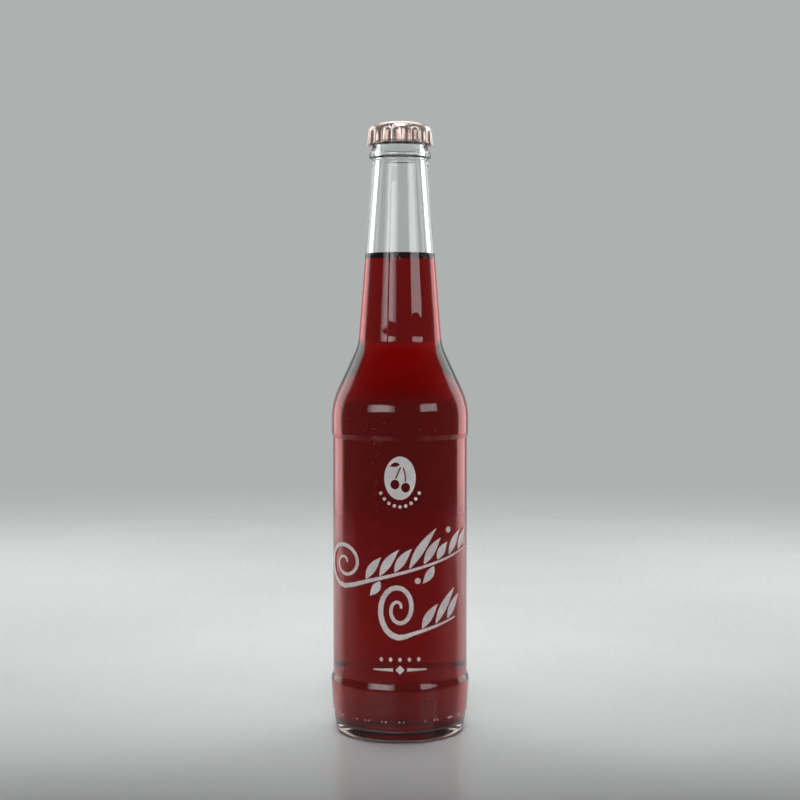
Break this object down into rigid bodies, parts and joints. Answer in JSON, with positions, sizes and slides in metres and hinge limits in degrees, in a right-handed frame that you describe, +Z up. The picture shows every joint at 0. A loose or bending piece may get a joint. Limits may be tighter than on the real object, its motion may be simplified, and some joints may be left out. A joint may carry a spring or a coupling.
{
  "type": "glass soda bottle",
  "caption": "Clear glass long-neck soda bottle with a red drink, a fluted crown cap that lifts off and a white leaf-and-cherry print.",
  "frame": {"origin": "centre of the base, on the surface that the bottle stands on", "axes": "+Z up along the bottle's axis, through the cap; -Y out of the printed front; +X to the right of someone facing the print"},
  "size_m": [0.06, 0.06, 0.2614],
  "materials": {
    "clear_glass": "polished",
    "red_drink": "gloss",
    "tinplate": "satin",
    "liner_compound": "matte",
    "white_enamel": "satin"
  },
  "bodies": {
    "bottle": {"bottle_glass": "clear_glass", "beverage": "red_drink", "print_garland_dot_1": "white_enamel", "print_garland_dot_2": "white_enamel", "print_garland_dot_3": "white_enamel", "print_garland_dot_4": "white_enamel", "print_garland_dot_5": "white_enamel", "print_garland_dot_6": "white_enamel", "print_garland_dot_7": "white_enamel", "print_garland_dot_8": "white_enamel", "print_garland_dot_9": "white_enamel", "print_lower_berry": "white_enamel", "print_lower_leaf_1": "white_enamel", "print_lower_leaf_2": "white_enamel", "print_lower_leaf_3": "white_enamel", "print_lower_stalk": "white_enamel", "print_lozenge_1": "white_enamel", "print_lozenge_2": "white_enamel", "print_lozenge_3": "white_enamel", "print_lozenge_4": "white_enamel", "print_lozenge_5": "white_enamel", "print_medallion": "white_enamel", "print_rule_diamond": "white_enamel", "print_rule_left": "white_enamel", "print_rule_right": "white_enamel", "print_upper_berry": "white_enamel", "print_upper_hanging_leaf_1": "white_enamel", "print_upper_hanging_leaf_2": "white_enamel", "print_upper_leaf_1": "white_enamel", "print_upper_leaf_2": "white_enamel", "print_upper_leaf_3": "white_enamel", "print_upper_leaf_4": "white_enamel", "print_upper_leaf_5": "white_enamel", "print_upper_leaf_6": "white_enamel", "print_upper_leaf_7": "white_enamel", "print_upper_leaf_8": "white_enamel", "print_upper_stalk": "white_enamel"},
    "cap": {"crown_cap_shell": "tinplate", "crown_cap_liner": "liner_compound"}
  },
  "joints": [
    {"name": "cap_lift", "type": "slide", "parent": "bottle", "child": "cap", "axis": [0, 0, 1], "range_m": [0, 0.035]}
  ]
}
